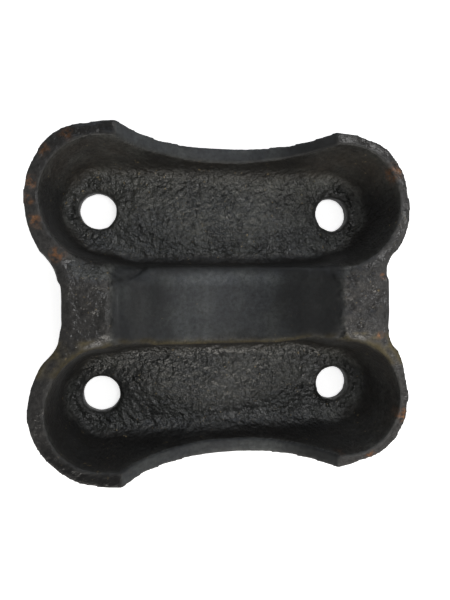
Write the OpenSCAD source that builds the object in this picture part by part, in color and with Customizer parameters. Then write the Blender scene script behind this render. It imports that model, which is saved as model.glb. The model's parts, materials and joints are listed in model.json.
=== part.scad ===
// U-bolt plate: a hot-forged steel clamp plate that holds an axle against a leaf spring.
// Two troughs carry the U-bolt legs and their nuts; a channelled rib between them,
// and the notches in the outer walls, make the seat for a round axle.
// Millimetres. x runs across the axle, y along it, z up; the nut seats rest on z = 0.

/* [Bolt holes] */
// Distance between the two legs of one U-bolt, centre to centre (x)
leg_spacing = 152.4; // [140:0.1:170]
// Distance between the two U-bolts along the axle, centre to centre (y)
bolt_pitch = 114.3; // [108:0.1:130]
// Diameter of the punched bolt holes
hole_d = 22.2; // [18:0.1:25]
// Rounding where a hole enters the trough floor
hole_round = 2.5; // [0.5:0.1:4]

/* [Troughs] */
// Height of the whole plate, nut seats to rim
plate_h = 50; // [46:0.5:56]
// Thickness of the trough floors under the bolt holes
floor_t = 8; // [6:0.1:10]
// Width of the flat rim, which is also the wall thickness measured level
rim_w = 6.5; // [5:0.1:9]
// Inside width of a trough at the rim (y)
mouth_w = 66; // [62:0.5:70]
// Reach of a trough past the bolt hole centre, at the rim (x)
end_reach = 25; // [22:0.1:30]
// Draft of the long outer walls, degrees from upright
side_draft = 11.2; // [8:0.1:13]
// Draft of the end walls, degrees from upright
end_draft = 4; // [2:0.1:8]
// Radius between trough floor and wall
floor_fillet = 9; // [5:0.5:11]

/* [Axle seat] */
// Radius of the axle the plate seats on
axle_r = 86.7; // [80:0.1:95]
// Depth of the seat below the rim, at its middle
seat_depth = 26.3; // [20:0.1:29]

/* [Rib] */
// Width of the plate at its waist (x)
waist_w = 184; // [176:0.5:190]
// Radius that joins the waist to the rounded ends
waist_fillet = 25; // [10:1:30]
// Width of the rib between its flanks, at the rim (y)
rib_w = 40.6; // [36:0.5:46]
// Draft of the rib flanks, degrees from upright
rib_draft = 7.5; // [5:0.1:12]
// Height of the bevel along the top edges of the rib
rib_bevel = 6; // [2:0.1:10]
// Lie of that bevel, degrees from upright
bevel_draft = 55; // [45:1:65]
// Length over which a rib flank runs straight (x)
flank_l = 100; // [80:1:110]
// Thickness of the rib's top and flanks
rib_t = 7; // [6:0.1:9]

/* [Hidden] */
$fn = 96;
// Distance a cut is carried past the face it opens
past = 1;
// Longer than the plate in any direction
beyond = 3 * leg_spacing;
// Angle at which fillets, roundings and the waist's necks break into their neighbours
break_angle = 12;

trough_y = bolt_pitch / 2;
side_slope = tan(side_draft);
rib_slope = tan(rib_draft);
// Trough ends are half rounds; their centres lean outward going down, so the ends stand steeper
end_x = leg_spacing / 2 + end_reach - mouth_w / 2;
end_lean = side_slope - tan(end_draft);
lobe_r = mouth_w / 2 + rim_w;
// Trough half widths where walls and floors would meet without a fillet
inner_r = mouth_w / 2 - (plate_h - floor_t) * side_slope;
outer_r = lobe_r - plate_h * side_slope;
outer_fillet = floor_fillet + floor_t;
rib_t_level = rib_t / cos(rib_draft);
bevel_z = plate_h - rib_bevel;
axle_z = plate_h - seat_depth + axle_r;
// Centre of the concave arc between the waist and a rounded end
neck_x = waist_w / 2 + waist_fillet;
neck_reach = (lobe_r + waist_fillet) * cos(break_angle / 2);
neck_y = trough_y - sqrt(pow(neck_reach, 2) - pow(neck_x - end_x, 2));

// Distance of a rib flank from the middle of its trough, at a height
function flank_r(z) = trough_y - rib_w / 2 - (plate_h - z) * rib_slope;

// The same for the bevel above the flank
function bevel_r(z) = flank_r(bevel_z) + (z - bevel_z) * tan(bevel_draft);

// Half of a trough's section: rounded into the floor at z0, drafted wall up to past z1;
// it sinks a little under the floor, which is trimmed flat afterwards
module trough_section(corner, draft, fillet, z0, z1) {
  rise = fillet * cos(break_angle);
  fillet_z = z0 + rise;
  fillet_r = corner + rise * tan(draft) - fillet / cos(draft);
  difference() {
    union() {
      polygon([
        [0, fillet_z - fillet],
        [fillet_r, fillet_z - fillet],
        [fillet_r + fillet * cos(draft), fillet_z - fillet * sin(draft)],
        [corner + (z1 + past - z0) * tan(draft), z1 + past],
        [0, z1 + past]
      ]);
      translate([fillet_r, fillet_z]) circle(r = fillet);
    }
    translate([-beyond, -beyond / 2]) square([beyond, beyond]);
  }
}

// Both halves of that section, run along x over a length
module trough_run(length, corner, fillet, z0, z1) {
  rotate([90, 0, 90]) linear_extrude(height = length, center = true)
    for (side = [0, 1])
      mirror([side, 0]) trough_section(corner, side_draft, fillet, z0, z1);
}

// A trough's shape, inside or outside: a straight run with leaning half-round ends
module trough(corner, fillet, z0, z1) {
  run_x = end_x - past;
  intersection() {
    translate([0, trough_y, 0]) {
      trough_run(2 * run_x, corner, fillet, z0, z1);
      for (end = [0, 1])
        mirror([end, 0, 0])
          intersection() {
            multmatrix([
              [1, 0, -end_lean, end_x + end_lean * plate_h],
              [0, 1, 0, 0],
              [0, 0, 1, 0],
              [0, 0, 0, 1]
            ]) {
              translate([-end_x / 2, 0, 0]) trough_run(end_x, corner, fillet, z0, z1);
              rotate([0, 0, -90]) rotate_extrude(angle = 180)
                trough_section(corner, side_draft, fillet, z0, z1);
            }
            translate([run_x, -beyond / 2, -beyond / 2]) cube(beyond);
          }
    }
    translate([-beyond / 2, -beyond / 2, z0]) cube([beyond, beyond, z1 - z0]);
  }
}

// A bay that widens a trough towards the rib, between heights z0 and z1; its half section is the child
module bay(z0, z1) {
  intersection() {
    translate([0, trough_y, 0]) {
      rotate([90, 0, 90]) linear_extrude(height = flank_l, center = true)
        mirror([1, 0]) children();
      for (end = [0, 1])
        mirror([end, 0, 0]) translate([flank_l / 2, 0, 0])
          rotate([0, 0, -90]) rotate_extrude(angle = 90) children();
    }
    translate([-beyond / 2, -beyond / 2, z0]) cube([beyond, beyond, z1 - z0]);
  }
}

// Half section of a bay's inside: the rib flank, with the bevel along the rib's top edge
module flank_section() {
  trough_section(flank_r(floor_t), rib_draft, floor_fillet, floor_t, plate_h + past);
  low_z = bevel_z - past;
  high_z = plate_h + 2 * past;
  polygon([
    [0, low_z],
    [bevel_r(low_z), low_z],
    [bevel_r(high_z), high_z],
    [0, high_z]
  ]);
}

// Half section of a bay's outside, one thickness behind the flank
module flank_back_section() {
  trough_section(flank_r(0) + rib_t_level, rib_draft, outer_fillet, 0, plate_h);
}

// Deck between the troughs: flat lands at the rim, bent down under the axle
module deck() {
  intersection() {
    rotate([90, 0, 0]) linear_extrude(height = bolt_pitch, center = true)
      intersection() {
        union() {
          translate([-beyond / 2, plate_h - rib_t]) square([beyond, rib_t]);
          translate([0, axle_z]) circle(r = axle_r + rib_t, $fn = 180);
        }
        translate([-beyond / 2, 0]) square([beyond, plate_h]);
      }
    linear_extrude(height = plate_h) deck_outline();
  }
}

// Plan of the deck, with the concave necks that run into the rounded ends
module deck_outline() {
  square([waist_w, 2 * neck_y], center = true);
  square([2 * end_x, bolt_pitch], center = true);
  for (end = [0, 1], side = [0, 1])
    mirror([end, 0]) mirror([0, side])
      difference() {
        polygon([[end_x, neck_y], [neck_x, neck_y], [end_x, trough_y]]);
        translate([neck_x, neck_y]) circle(r = waist_fillet);
      }
}

// Punched hole with a rounded entry
module bolt_hole() {
  round_r = hole_d / 2 + hole_round;
  round_z = floor_t - hole_round * cos(break_angle);
  rotate_extrude() {
    translate([0, -past]) square([hole_d / 2, round_z + 2 * past]);
    difference() {
      translate([0, round_z])
        square([round_r - hole_round * sin(break_angle), floor_t + past - round_z]);
      translate([round_r, round_z]) circle(r = hole_round);
    }
  }
}

module u_bolt_plate() {
  color("#3b3a39")
    difference() {
      union() {
        deck();
        for (side = [0, 1])
          mirror([0, side, 0]) {
            trough(outer_r, outer_fillet, 0, plate_h);
            bay(0, plate_h) flank_back_section();
          }
      }
      for (side = [0, 1])
        mirror([0, side, 0]) {
          trough(inner_r, floor_fillet, floor_t, plate_h + past);
          bay(floor_t, plate_h + past) flank_section();
        }
      translate([0, 0, axle_z]) rotate([90, 0, 0])
        cylinder(r = axle_r, h = beyond, center = true, $fn = 180);
      for (x = [-1, 1], y = [-1, 1])
        translate([x * leg_spacing / 2, y * trough_y, 0]) bolt_hole();
    }
}

u_bolt_plate();
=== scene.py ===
import json
import math

import bmesh
import bpy
import numpy as np
from mathutils import Euler, Matrix, Vector, noise


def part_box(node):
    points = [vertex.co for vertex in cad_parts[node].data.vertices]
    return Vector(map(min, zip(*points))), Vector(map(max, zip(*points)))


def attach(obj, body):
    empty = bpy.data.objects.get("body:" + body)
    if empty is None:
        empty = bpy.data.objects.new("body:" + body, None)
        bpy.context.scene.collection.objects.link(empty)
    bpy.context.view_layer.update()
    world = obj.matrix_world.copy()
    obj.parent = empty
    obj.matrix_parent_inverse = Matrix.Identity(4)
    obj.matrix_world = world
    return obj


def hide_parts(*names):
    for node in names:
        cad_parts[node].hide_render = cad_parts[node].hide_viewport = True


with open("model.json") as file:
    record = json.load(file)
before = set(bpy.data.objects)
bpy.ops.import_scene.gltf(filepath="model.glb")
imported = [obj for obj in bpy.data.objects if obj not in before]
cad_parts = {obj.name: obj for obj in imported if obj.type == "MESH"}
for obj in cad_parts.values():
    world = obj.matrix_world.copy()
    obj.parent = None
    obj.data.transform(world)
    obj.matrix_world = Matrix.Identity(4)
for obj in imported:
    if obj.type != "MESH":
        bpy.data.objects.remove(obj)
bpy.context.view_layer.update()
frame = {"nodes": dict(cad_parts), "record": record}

# The plate is one hot forging of medium-carbon steel: trimmed round its rim, punched for the four
# U-bolt legs and left in its black scale. The frame gives its form; shifted dies, the trimmed flash
# and flaking scale make the real one uneven and lopsided, which is worked in here.
MM = 0.001
QUAD = 1.28  # side of the even quads the skin is made of, mm
mounts = {mount["name"]: mount for mount in frame["record"]["mounts"]}
hole_pattern = mounts["u_bolt_holes"]["dims"]
trough_y = hole_pattern["spacing_y_mm"] / 2
axle_r = mounts["axle_seat"]["dims"]["r_mm"]
axle_z = mounts["axle_seat"]["pos_m"][2] / MM + axle_r
plate_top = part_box("u_bolt_plate")[1] / MM
rim_z = plate_top.z

blank_mesh = frame["nodes"]["u_bolt_plate"].data.copy()
merged = bmesh.new()
merged.from_mesh(blank_mesh)
bmesh.ops.remove_doubles(merged, verts=merged.verts, dist=0.001 * MM)
merged.to_mesh(blank_mesh)
merged.free()
blank = bpy.data.objects.new("forging_blank", blank_mesh)
bpy.context.scene.collection.objects.link(blank)
even_quads = blank.modifiers.new("even_quads", "REMESH")
even_quads.mode = "VOXEL"
even_quads.voxel_size = QUAD * MM
true_faces = blank.modifiers.new("true_faces", "SHRINKWRAP")
true_faces.target = frame["nodes"]["u_bolt_plate"]
skin = bpy.data.meshes.new_from_object(blank.evaluated_get(bpy.context.evaluated_depsgraph_get()))
bpy.data.objects.remove(blank)
skin.name = "forged_plate"
skin.materials.clear()

points = np.empty((len(skin.vertices), 3), np.float32)
skin.vertices.foreach_get("co", points.ravel())
points = points.astype(float) / MM
edges = np.empty((len(skin.edges), 2), np.int32)
skin.edges.foreach_get("vertices", edges.ravel())
links = np.bincount(edges.ravel(), minlength=len(points))


def near(values, passes):
    """Each value averaged with its neighbours on the skin, several times over."""
    for _ in range(passes):
        total = np.bincount(edges[:, 0], values[edges[:, 1]], len(values))
        total += np.bincount(edges[:, 1], values[edges[:, 0]], len(values))
        values = (values + total) / (1 + links)
    return values


def ease(amount, passes):
    """Draws the skin towards its neighbours' mean, by an amount for each point, several times over."""
    for _ in range(passes):
        mean = np.stack([near(points[:, axis], 1) for axis in range(3)], 1)
        points[:] += (mean - points) * np.reshape(amount, (-1, 1))


def step(low, high, values):
    """0 up to low, 1 from high, smooth between them; low may be the larger."""
    t = np.clip((values - low) / (high - low), 0, 1)
    return t * t * (3 - 2 * t)


def within(low, high, soft, values):
    """1 between low and high, falling to 0 over a soft margin outside them."""
    return step(low - soft, low, values) * step(high + soft, high, values)


def lumps(size, shift=0.0):
    """Uneven swells about as far apart as size, in mm, between about -1 and 1."""
    offset = Vector((shift, shift, shift))
    return np.array([noise.noise(Vector(p) / size + offset) for p in points])


def facing():
    """The skin's normals as it now stands."""
    skin.vertices.foreach_set("co", (points * MM).astype(np.float32).ravel())
    skin.update()
    normals = np.empty((len(points), 3), np.float32)
    skin.vertex_normals.foreach_get("vector", normals.ravel())
    return normals.astype(float)


# Small steps left by the remeshing are taken off, without the skin shrinking.
for pull in (0.7, -0.72) * 2:
    ease(pull, 1)
x, y, z = points.T
upper_die = step(0.0, 0.08, facing()[:, 2])

# Trim line: how far the sheared edge stands outside the rim's own line, in mm, from the middle of the
# waist over neck, rounded end and arc tip to the middle of the arc. The shear ran off to the left.
waist_x, neck_x, neck_y, neck_r = 92, 117, 15.55, 25
lobe_x, lobe_r = 68.2, plate_top.y - trough_y
stations = [(waist_x, 0, 1, 0), (waist_x, 8, 1, 0)]
for degrees in (172, 160, 148):
    c, s = math.cos(math.radians(degrees)), math.sin(math.radians(degrees))
    stations.append((neck_x + neck_r * c, neck_y + neck_r * s, -c, -s))
for degrees in range(-40, 91, 10):
    c, s = math.cos(math.radians(degrees)), math.sin(math.radians(degrees))
    stations.append((lobe_x + lobe_r * c, trough_y + lobe_r * s, c, s))
stations += [(along, plate_top.y, 0, 1) for along in (65.5, 62, 50, 40, 30, 20, 10, 0)]
stations = np.array(stations)
trim = {
    (-1, 1): [-0.6, -0.6, 1.6, 2.7, 3.6, 3.7, 2.6, 2.2, 1.5, 1.1, 0.8, 1.0, 0.6, 1.5, 1.8, 1.5, 0.9, 0.3, 1.2,
              1.5, 1.8, 0.8, 0.7, 1.0, 1.3, 1.7, 1.7],
    (-1, -1): [-0.6, -0.3, 0.7, 1.0, 2.5, 2.7, 2.0, 2.0, 1.9, 1.9, 1.4, 1.4, 1.0, 0.5, 0.7, 1.0, 1.3, 1.0, 1.8,
               2.1, 2.6, 1.3, 1.3, 1.5, 1.6, 1.8, 1.7],
    (1, 1): [2.4, 2.1, 1.1, 0.8, 1.3, 1.0, 0.9, 0.6, -0.2, -1.0, -1.4, -0.9, -0.6, -0.3, 0.4, 0.1, -0.8, -0.3,
             -0.3, 0.0, 1.3, 0.8, 0.7, 1.1, 1.4, 1.6, 1.7],
    (1, -1): [2.4, 2.4, 2.0, 1.2, 1.1, 1.0, 0.0, -1.4, -1.8, -1.2, -1.8, -0.4, -1.2, -0.3, -1.0, -1.0, -1.6,
              -2.3, -0.8, -0.4, 1.4, 0.8, 0.8, 1.0, 1.4, 1.6, 1.7],
}
STATION_REACH = 5.0  # how far a station's offset carries along the rim, mm
WALL_LEAN = 0.15  # how much the walls draw in for each mm below the rim
for (side, end), offsets in trim.items():
    mine = np.flatnonzero((x * side >= 0) & (y * end >= 0))
    gap = np.stack([x[mine] * side, y[mine] * end], 1)[:, None, :] - stations[None, :, :2]
    weight = np.exp(-((gap ** 2).sum(2) / STATION_REACH ** 2))
    weight /= weight.sum(1, keepdims=True) + 1e-12
    stand = (weight * (gap * stations[None, :, 2:]).sum(2)).sum(1) + WALL_LEAN * (rim_z - z[mine])
    amount = step(-5.5, -1.0, stand) * step(4, 26, z[mine])
    moved = (weight * np.array(offsets)) @ stations[:, 2:] * amount[:, None]
    points[mine, 0] += moved[:, 0] * side
    points[mine, 1] += moved[:, 1] * end

# The dies were out of line, so the rib lies towards the front at its middle, and the seat in it opens
# wider at its ends than the axle needs.
ridge_x = [-93, -84, -75, -58, -33, 0, 32, 46, 59, 73, 85, 93]
front_ridge = [1.5, 1.7, 1.9, -1.0, -1.3, -1.9, -2.2, -0.8, -1.4, 1.1, 1.0, 1.5]
back_ridge = [-1.2, -1.8, -2.2, -0.5, -1.4, -2.0, -1.4, -0.8, -0.5, -1.8, -1.4, -1.0]
points[:, 1] += (np.interp(x, ridge_x, front_ridge) * step(-46, -32, y) * step(-6, -18, y)
                 + np.interp(x, ridge_x, back_ridge) * step(46, 32, y) * step(6, 18, y))
SEAT_END_DROP = 3.2
points[:, 2] -= SEAT_END_DROP * step(44, 60, np.abs(x)) * step(66.5, 63, np.abs(x)) * step(27, 22, np.abs(y))

# The rib's back shoulder is deep and drawn at the left, and its front one has hardly a bevel.
SHOULDER_DROP, BEVEL_FILL = 4.5, 0.55  # mm, and share of the bevel's depth
points[:, 2] -= SHOULDER_DROP * step(11.5, 20.5, y) * step(28, 24, y) * within(-80, -52, 11, x) * upper_die
front_bevel = step(-0.3, -0.55, facing()[:, 1]) * step(40, 44, z)
front_bevel = front_bevel * within(-23, -15, 4, y) * step(50, 56, np.abs(x))
points[:, 2] += BEVEL_FILL * (rim_z - z) * near(front_bevel, 2) * upper_die
ease(0.8 * upper_die * within(17, 26, 4, y) * step(16, 22, z), 12)
ease(0.8 * upper_die * within(-27, -20, 3, y) * step(16, 22, z), 4)
bay_end = within(50, 80, 8, np.abs(x)) * within(24, 40, 4, np.abs(y))
ease(0.9 * upper_die * bay_end * step(49, 45, z) * step(5, 8, z), 40)
ease(0.8 * upper_die * within(52, 62, 3, np.abs(x)) * within(11, 24, 3, np.abs(y)), 8)

# Floors run up into the walls in a wide curve, under the long walls and round the ends.
wide_curve = step(60, 68, np.abs(y)) * step(92, 87, np.abs(y)) * step(82, 70, np.abs(x))
wide_curve = wide_curve * step(21, 15, z) * step(5, 8, z)
ease(0.9 * upper_die * wide_curve, 50)
end_curve = step(82, 88, np.abs(x)) * step(26, 19, z) * step(8.1, 9.5, z)
ease(0.9 * upper_die * end_curve, 60)

# Relief: swells from the dies, pebbled faces, flaked pits, and the broken edges where the seat meets
# the lands. The masks say which face is which.
normals = facing()
level = step(0.75, 0.95, normals[:, 2])
axle_gap = np.hypot(x, z - axle_z) - axle_r
channel = upper_die * step(24, 19, np.abs(y)) * step(67, 63, np.abs(x)) * step(10, 14, z)
arc_band = step(1.5, 0.8, np.abs(axle_gap)) * step(60, 70, np.abs(y)) * step(rim_z - 0.2, rim_z - 1.0, z)
seat = np.maximum(channel, arc_band)
rim = level * step(rim_z - 2.0, rim_z - 1.0, z) * (1 - seat)
floor = near(upper_die * step(0.15, 0.85, normals[:, 2]) * step(25, 10, z), 14)
land = upper_die * step(24, 18, np.abs(y)) * step(40, 44, z) * step(91, 85, np.abs(x))
right_land, left_land = land * step(62, 67, x), land * step(-64, -68, x)
shoulder = upper_die * within(13, 22, 3, y) * step(34, 38, z)

coarse, middle, fine = lumps(34), lumps(13, 5.2), lumps(4.4, 9.1)
rise = (0.42 * coarse + 0.24 * middle) * (1 - 0.4 * seat)
rise += (0.2 + 0.32 * floor) * fine * (1 - 0.75 * seat)
rise += 0.34 * lumps(2.7, 1.3) * floor
rise -= 0.25 * step(0.25, 0.5, lumps(5.5, 3.3)) * floor
rise += 0.3 * rim * lumps(6.0, 8.8)
patchy = step(-0.25, 0.35, lumps(15, 7.1))
rise += right_land * (1.7 * lumps(7.0, 2.4) + (0.4 + 1.6 * patchy) * np.abs(lumps(3.6, 7.7)))
rise += 2.4 * np.abs(lumps(6.0, 4.1)) * within(63, 73, 3, x) * within(4, 19, 3, y) * upper_die
rise += left_land * (0.8 * lumps(8.0, 1.9) + 0.7 * patchy * lumps(3.6, 4.7))
rise += 0.4 * shoulder * lumps(3.6, 6.1)
crack = x + 66.3 - 0.9 * np.sin(0.45 * y) - 0.5 * np.sin(1.1 * y + 1)
lip = 0.5 * np.exp(-((crack + 2.2) / 1.4) ** 2) - 0.8 * np.exp(-crack ** 2)
rise += upper_die * within(-13, 12, 3, y) * lip
crease_x = [-66.0, -53.5, -48.7]
crease_y = [11.6, 16.8, 20.5]
crease = np.exp(-((y - np.interp(x, crease_x, crease_y)) / 1.3) ** 2) * within(-65, -49, 3, x) * upper_die
rise -= crease
points[:] += normals * rise[:, None]
points[:, 0] += 1.6 * lumps(8.0, 6.6) * within(60, 72, 4, x) * step(24, 18, np.abs(y)) * upper_die
points[:, 2] = np.maximum(points[:, 2], 0)

normals = facing()
mean = np.stack([near(points[:, axis], 3) for axis in range(3)], 1)
bulge = np.einsum("ij,ij->i", points - mean, normals)
edge_wear_and_shade = near(step(0.05, 0.35, bulge), 1)
hollow_shade = near(step(0.03, 0.25, -bulge), 2)
front_line = upper_die * near(step(0.03, 0.15, bulge), 1) * within(-36, -20, 3, y) * step(18, 22, z)

# Rust stands in spots where the shear bared the steel: place on the plate and radius, in mm.
rust_spots = [(-105.5, 64, 3.5), (-106.5, 55, 3), (-103, 44, 4), (-98, 82, 3.5), (-87, 90, 4), (-92.5, 27.5, 4.5),
              (97, 75, 5.5), (102, -68, 4), (82, -91, 3), (64, -86, 4), (88, -20, 2.5), (90, 15, 2.5)]
rust = np.zeros(len(points))
ragged = 0.5 * lumps(3.4, 3.9)
for spot_x, spot_y, radius in rust_spots:
    away = np.hypot(x - spot_x, y - spot_y) / radius
    rust = np.maximum(rust, step(1.2, 0.3, away + ragged) * step(40, 47, z))

# Tone is what the face's colour is multiplied by: random tone mixed with painted light and shade. Grain is how
# strongly it is pebbled.
# The walls are painted darker as shade, and painted lighter at the back corners and the front right, as if lit
# there.
long_wall = step(0.3, 0.7, np.abs(normals[:, 1]) / (np.hypot(normals[:, 0], normals[:, 1]) + 1e-6))
steep = step(0.5 + 0.48 * long_wall, 0.2 + 0.3 * long_wall, normals[:, 2])
wall_shade = near(upper_die * steep * step(19, 24, np.abs(y)) * step(rim_z - 0.5, rim_z - 3, z) * (1 - seat), 10)
# The foot of the rib's back flank gets the same painted shade as the walls.
rib_foot = upper_die * within(20, 27, 5, y + 1.5 * middle) * step(38, 28, z) * step(82, 66, np.abs(x))
wall_shade = np.maximum(wall_shade, 0.85 * rib_foot)
# Where the walls are painted lighter, as if lit.
back_corner_light = step(62, 74, y) * step(40, 62, np.abs(x))
front_right_light = step(-30, -45, y) * step(62, 80, x)
tone_and_painted_light = 1 - wall_shade * (0.75 - (0.42 + 0.2 * step(30, 60, x)) * back_corner_light - 0.4 * front_right_light)
# Painted light and shade on the seat: darker at both ends where it curves up, a painted highlight as a pale strip
# along its back edge, a painted lit face at its left end and a painted shade spot at the middle of its front edge.
strayed = x + 9 * middle
tone_and_painted_light *= 1 - 0.78 * channel * step(20, 46, strayed)
tone_and_painted_light *= 1 - 0.55 * channel * np.exp(-((strayed + 50) / 7) ** 2 - ((y - 2) / 13) ** 2)
tone_and_painted_light *= 1 + 0.3 * channel * within(-63, -58, 3, x) * within(-9, 11, 4, y)
tone_and_painted_light *= 1 - 0.55 * channel * step(-24, -42, strayed)
tone_and_painted_light *= 1 + 0.8 * channel * within(13, 17, 4, y) * within(-44, 34, 14, x)
tone_and_painted_light *= 1 - 0.6 * upper_die * np.exp(-((x - 4) / 12) ** 2 - ((y + 20.5) / 2.6) ** 2)
# Painted shade in the crease on the left shoulder.
tone_and_painted_light *= 1 - 0.6 * crease
# Painted shade: the rounded edges near the rim, off the lands, are darkened to hold down their highlight.
tone_and_painted_light *= 1 - 0.5 * edge_wear_and_shade * step(rim_z - 5, rim_z - 1, z) * (1 - land)
# Painted light: a paler curb rings each trough end, where the floor turns up and catches the lamps.
curb_highlight = near(upper_die * within(0.5, 0.88, 0.12, normals[:, 2]) * within(10, 19, 3, z) * step(62, 76, np.abs(x)), 4)
tone_and_painted_light *= 1 + curb_highlight
# Painted shade: the arc bands are darker at their right ends, which turn away from the light.
tone_and_painted_light *= 1 - 0.75 * arc_band * step(26, 50, x)
# Painted reflection on the rim: black at the left corners, paler at the right and along the middle of the left side.
# Lands and floors have their tones set below.
left_rim = rim * step(0, -40, x)
tone_and_painted_light *= 1 - 0.75 * left_rim * step(-66, -88, y) - 0.55 * left_rim * step(76, 90, y)
tone_and_painted_light *= 1 + rim * step(40, 70, x) * (0.5 + 0.7 * step(0, -40, y)) + 0.7 * left_rim * within(30, 66, 8, y)
# Painted shade in the hollows of the lands, on top of random tone from the coarse swells.
tone_and_painted_light *= (1 + 0.3 * coarse) * (1 - 0.5 * hollow_shade * land)
# Floors are painted lighter towards the right, standing in for their glints, and made darker at the front; the lands
# are made paler.
tone_and_painted_light *= 1 + floor * (0.2 * step(10, 65, x) - 0.35 * step(0, -30, y)) + 0.35 * right_land + 0.5 * left_land
grain = 0.35 + (0.55 - 0.2 * step(0, -20, y)) * floor + 0.3 * left_land + 0.65 * right_land - 0.12 * rim
grain *= (1 - 0.75 * seat) * (1 - 0.5 * rib_foot) * (0.95 + 0.5 * coarse + 0.3 * middle)
faces = {"seat": seat, "rim": rim, "edge_wear_and_shade": edge_wear_and_shade, "rust": rust, "front_line": front_line,
         "walls": wall_shade, "tone_and_painted_light": tone_and_painted_light, "grain": grain}
for name, values in faces.items():
    skin.attributes.new(name, "FLOAT", "POINT").data.foreach_set("value", values.astype(np.float32))
skin.shade_smooth()


def linear(hex_colour):
    """An sRGB hex colour as linear RGBA."""
    parts = [int(hex_colour[i:i + 2], 16) / 255 for i in (1, 3, 5)]
    return [c / 12.92 if c <= 0.04045 else ((c + 0.055) / 1.055) ** 2.4 for c in parts] + [1]


def node(tree, kind, inputs, **settings):
    """Adds a node; an input is a number or colour to set, or an output socket to link."""
    made = tree.nodes.new("ShaderNode" + kind)
    for key, value in settings.items():
        setattr(made, key, value)
    for key, value in inputs.items():
        if isinstance(value, bpy.types.NodeSocket):
            tree.links.new(value, made.inputs[key])
        else:
            made.inputs[key].default_value = value
    return made


def per_metre(size_mm):
    """The scale at which a pattern repeats about every size_mm."""
    return 1 / (size_mm * MM)


# Forging scale: a hard, dark skin of iron oxide under a film of oil. It gives a pebbled near-black that
# glints as if wet, bluish in the seat and brown on the walls, with rust on the trim.
scale = bpy.data.materials.new("forging_scale_on_steel")
scale.use_nodes = True
tree = scale.node_tree
tree.nodes.clear()
where = node(tree, "TexCoord", {}).outputs["Object"]
masks = {name: node(tree, "Attribute", {}, attribute_name=name).outputs["Fac"] for name in faces}
patches = node(tree, "TexNoise", {"Vector": where, "Scale": per_metre(16), "Detail": 6, "Roughness": 0.62})
patch = node(tree, "MapRange", {"Value": patches.outputs["Fac"], "From Min": 0.36, "From Max": 0.66},
             interpolation_type="SMOOTHSTEP").outputs["Result"]
colour = node(tree, "MixRGB", {"Fac": patch, "Color1": linear("#303130"),
                               "Color2": linear("#4a4b48")}).outputs["Color"]
brown = node(tree, "TexNoise", {"Vector": where, "Scale": per_metre(22), "Detail": 4, "Roughness": 0.6})
brown = node(tree, "MapRange", {"Value": brown.outputs["Fac"], "From Min": 0.35, "From Max": 0.65,
                                "To Min": 0.15, "To Max": 0.8})
brown = node(tree, "Math", {0: brown.outputs["Result"], 1: masks["walls"]}, operation="MULTIPLY").outputs[0]
colour = node(tree, "MixRGB", {"Fac": brown, "Color1": colour, "Color2": linear("#322c25")}).outputs["Color"]
blued = node(tree, "MixRGB", {"Fac": patch, "Color1": linear("#272a2d"),
                              "Color2": linear("#383b3b")}).outputs["Color"]
colour = node(tree, "MixRGB", {"Fac": masks["seat"], "Color1": colour, "Color2": blued}).outputs["Color"]
colour = node(tree, "MixRGB", {"Fac": masks["rim"], "Color1": colour, "Color2": linear("#2c2b2a")}).outputs["Color"]
edge_amount = node(tree, "Math", {0: masks["edge_wear_and_shade"], 1: 0.08}, operation="MULTIPLY").outputs[0]
colour = node(tree, "MixRGB", {"Fac": edge_amount, "Color1": colour, "Color2": linear("#55524d")}).outputs["Color"]
line_amount = node(tree, "Math", {0: masks["front_line"], 1: 0.6}, operation="MULTIPLY").outputs[0]
colour = node(tree, "MixRGB", {"Fac": line_amount, "Color1": colour, "Color2": linear("#50451f")}).outputs["Color"]
rust_noise = node(tree, "TexNoise", {"Vector": where, "Scale": per_metre(2.5), "Detail": 4, "Roughness": 0.65})
rust_part = node(tree, "MapRange", {"Value": rust_noise.outputs["Fac"], "From Min": 0.42, "From Max": 0.6})
rust_amount = node(tree, "Math", {0: rust_part.outputs["Result"], 1: masks["rust"]}, operation="MULTIPLY").outputs[0]
colour = node(tree, "MixRGB", {"Fac": rust_amount, "Color1": colour, "Color2": linear("#6b4a30")}).outputs["Color"]
grit = node(tree, "TexNoise", {"Vector": where, "Scale": per_metre(2.3), "Detail": 3, "Roughness": 0.65})
grit_tone = node(tree, "MapRange", {"Value": grit.outputs["Fac"], "From Min": 0.25, "From Max": 0.75,
                                    "To Min": 0.4, "To Max": 1.6}).outputs["Result"]
# The tone attribute brings in random tone together with the painted light and shade worked out on the skin.
grit_tone = node(tree, "Math", {0: grit_tone, 1: masks["tone_and_painted_light"]}, operation="MULTIPLY").outputs[0]
grit_colour = node(tree, "CombineColor", {0: grit_tone, 1: grit_tone, 2: grit_tone})
colour = node(tree, "MixRGB", {"Fac": 1.0, "Color1": colour, "Color2": grit_colour.outputs["Color"]},
              blend_type="MULTIPLY").outputs["Color"]
flecks = node(tree, "TexNoise", {"Vector": where, "Scale": per_metre(2.6), "Detail": 3, "Roughness": 0.6})
fleck = node(tree, "MapRange", {"Value": flecks.outputs["Fac"], "From Min": 0.66, "From Max": 0.7}).outputs["Result"]
gathered = node(tree, "TexNoise", {"Vector": where, "Scale": per_metre(19), "Detail": 2})
gathered = node(tree, "MapRange", {"Value": gathered.outputs["Fac"], "From Min": 0.46,
                                   "From Max": 0.58}).outputs["Result"]
fleck_amount = node(tree, "Math", {0: fleck, 1: gathered}, operation="MULTIPLY").outputs[0]
fleck_amount = node(tree, "Math", {0: fleck_amount, 1: masks["grain"]}, operation="MULTIPLY",
                    use_clamp=True).outputs[0]
colour = node(tree, "MixRGB", {"Fac": fleck_amount, "Color1": colour, "Color2": linear("#a08e68")}).outputs["Color"]

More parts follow.
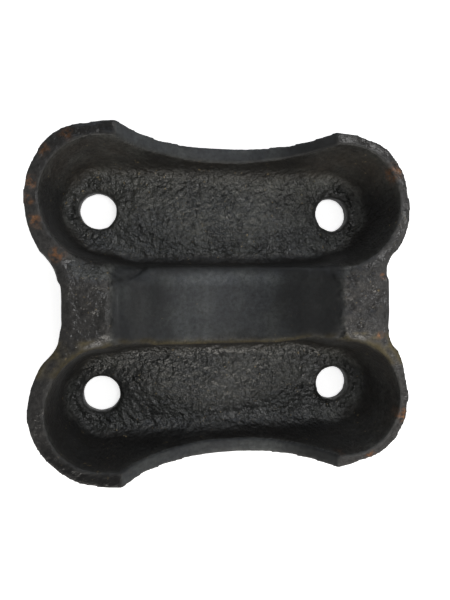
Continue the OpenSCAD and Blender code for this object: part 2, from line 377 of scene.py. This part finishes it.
pebble = node(tree, "TexNoise", {"Vector": where, "Scale": per_metre(2.9), "Detail": 2, "Roughness": 0.5})
height = node(tree, "Math", {0: pebble.outputs["Fac"], 1: masks["grain"]}, operation="MULTIPLY").outputs[0]
bump = node(tree, "Bump", {"Height": height, "Strength": 1.0, "Distance": 2.9 * MM})
oily = node(tree, "MapRange", {"Value": patches.outputs["Fac"], "From Min": 0.3, "From Max": 0.7,
                                "To Min": 0.1, "To Max": 0.32})
roughness = node(tree, "Mix", {"Factor": masks["seat"], "A": oily.outputs["Result"], "B": 0.5}).outputs["Result"]
roughness = node(tree, "Mix", {"Factor": masks["walls"], "A": roughness, "B": 0.6}).outputs["Result"]
roughness = node(tree, "Mix", {"Factor": masks["edge_wear_and_shade"], "A": roughness, "B": 0.65}).outputs["Result"]
roughness = node(tree, "Mix", {"Factor": masks["front_line"], "A": roughness, "B": 0.85}).outputs["Result"]
surface = node(tree, "BsdfPrincipled", {"Base Color": colour, "Roughness": roughness,
                                        "Normal": bump.outputs["Normal"]})
node(tree, "OutputMaterial", {"Surface": surface.outputs["BSDF"]})
skin.materials.append(scale)

plate = bpy.data.objects.new("forged_plate", skin)
bpy.context.scene.collection.objects.link(plate)
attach(plate, "root")
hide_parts("u_bolt_plate")

# The stage is a plain pale table top, matt and seamless, with the plate lying on its nut seats.
# The camera sees it near white; it keeps the plate's soft shadow and throws light under the rim.
table_half = 1.5
table_mesh = bpy.data.meshes.new("table_top")
table_mesh.from_pydata([(-table_half, -table_half, 0), (table_half, -table_half, 0),
                        (table_half, table_half, 0), (-table_half, table_half, 0)], [], [(0, 1, 2, 3)])
table_paint = bpy.data.materials.new("matt_white_table")
table_paint.use_nodes = True
tree = table_paint.node_tree
tree.nodes.clear()
path = node(tree, "LightPath", {})
shown = node(tree, "Math", {0: path.outputs["Is Camera Ray"], 1: 0.75}, operation="MULTIPLY").outputs[0]
mirrored = node(tree, "Math", {0: path.outputs["Is Glossy Ray"], 1: 0.2}, operation="MULTIPLY").outputs[0]
glow = node(tree, "Math", {0: shown, 1: mirrored}, operation="ADD").outputs[0]
paint = node(tree, "BsdfPrincipled", {"Base Color": linear("#f4f4f4"), "Roughness": 0.9,
                                      "Emission Color": linear("#ffffff"), "Emission Strength": glow})
node(tree, "OutputMaterial", {"Surface": paint.outputs["BSDF"]})
table_mesh.materials.append(table_paint)
table = bpy.data.objects.new("table_top", table_mesh)
bpy.context.scene.collection.objects.link(table)

# Studio light: a soft key from the front, a lamp overhead, a panel at the right that the rims reflect, a
# cool softbox at the back and a dim room, with a white backdrop all round behind the table.
def softbox(name, place, aim, width, depth, watts, tint):
    """A soft rectangular lamp at a place, turned to a point."""
    lamp = bpy.data.lights.new(name, "AREA")
    lamp.shape = "RECTANGLE"
    lamp.size, lamp.size_y, lamp.energy = width, depth, watts
    lamp.color = linear(tint)[:3]
    holder = bpy.data.objects.new(name, lamp)
    holder.location = place
    holder.rotation_euler = (Vector(aim) - Vector(place)).to_track_quat("-Z", "Y").to_euler()
    bpy.context.scene.collection.objects.link(holder)


softbox("front_key", (0.05, -1.05, 0.74), (0, 0, 0.02), 0.9, 0.45, 8.0, "#fffaf2")
softbox("ceiling_lamp", (0.38, 0.14, 1.10), (0, 0, 0.02), 0.5, 0.4, 2.5, "#ffffff")
softbox("right_panel", (1.00, 0.10, 0.70), (0, 0, 0.02), 0.9, 0.4, 0.8, "#ffffff")
softbox("back_window", (0.10, 0.95, 0.80), (0, 0, 0.02), 1.0, 0.4, 1.8, "#e4eeff")
room = bpy.data.worlds.new("dim_room_with_backdrop")
room.use_nodes = True
tree = room.node_tree
tree.nodes.clear()
path = node(tree, "LightPath", {})
heading = node(tree, "TexCoord", {}).outputs["Generated"]
height = node(tree, "SeparateXYZ", {"Vector": heading}).outputs["Z"]
backdrop = node(tree, "MapRange", {"Value": height, "From Min": 0.15, "From Max": 0.3,
                                   "To Min": 1.0, "To Max": 0.24}).outputs["Result"]
strength = node(tree, "Math", {0: backdrop, 1: path.outputs["Is Camera Ray"]}, operation="MAXIMUM").outputs[0]
light = node(tree, "Background", {"Color": linear("#ffffff"), "Strength": strength})
node(tree, "OutputWorld", {"Surface": light.outputs["Background"]})
bpy.context.scene.world = room
bpy.context.scene.view_settings.view_transform = "Standard"

# The camera stands almost straight above the plate, a little to its left, as the photographer did.
PICTURE_LONG_SIDE = 600
FOCAL_PIXELS = 449.5
lens = bpy.data.cameras.new("camera")
lens.sensor_width = 36
lens.lens = lens.sensor_width * FOCAL_PIXELS / PICTURE_LONG_SIDE
camera = bpy.data.objects.new("camera", lens)
tilt = Euler((0.032, 0.163, 0.016)).to_matrix().transposed()
camera.matrix_world = Matrix.Translation(Vector((-44.70, 9.94, 295.33)) * MM) @ tilt.to_4x4()
bpy.context.scene.collection.objects.link(camera)
bpy.context.scene.camera = camera
